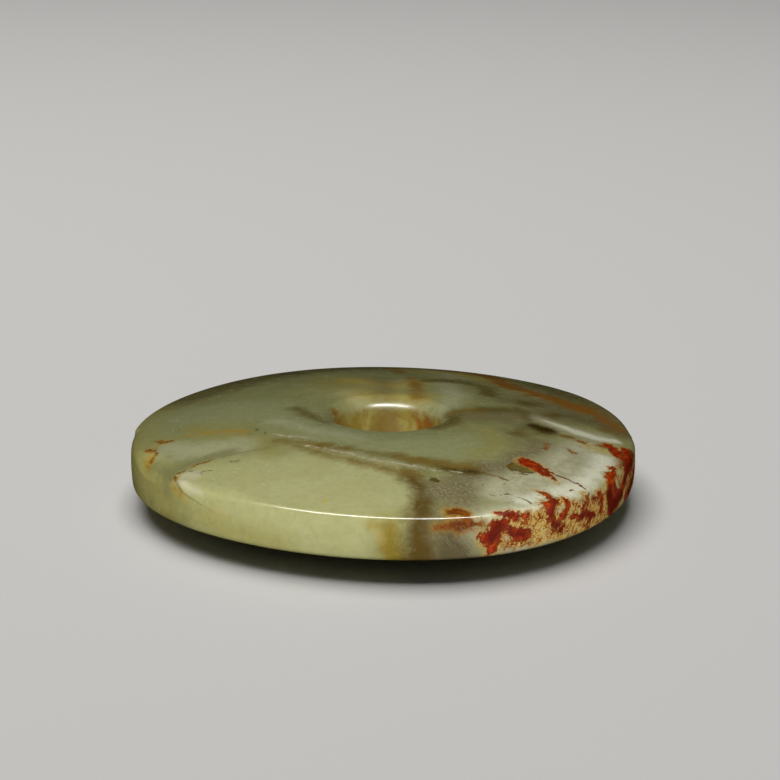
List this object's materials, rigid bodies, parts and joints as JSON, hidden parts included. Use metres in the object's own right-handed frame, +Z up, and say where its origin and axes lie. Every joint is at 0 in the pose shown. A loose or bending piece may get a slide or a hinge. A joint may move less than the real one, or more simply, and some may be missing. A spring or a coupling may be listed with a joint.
{
  "type": "jade bi disc",
  "caption": "Thick round disc of polished pale green nephrite with a round central bore, gently domed faces and a chipped rim.",
  "frame": {"origin": "on the bore's axis, level with the flat land of the underside that the disc rests on", "axes": "+Z up along the bore's axis out of the upper face; -Y towards the side of the rim seen nearest in the picture; +X to that view's right, where the rim is russet"},
  "size_m": [0.1206, 0.1206, 0.0216],
  "materials": {
    "jade": "polished, waxy and slightly translucent nephrite, clouded grey-white and stained russet along one side of the rim"
  },
  "bodies": {
    "root": {"jade_disc": "jade"}
  },
  "joints": []
}
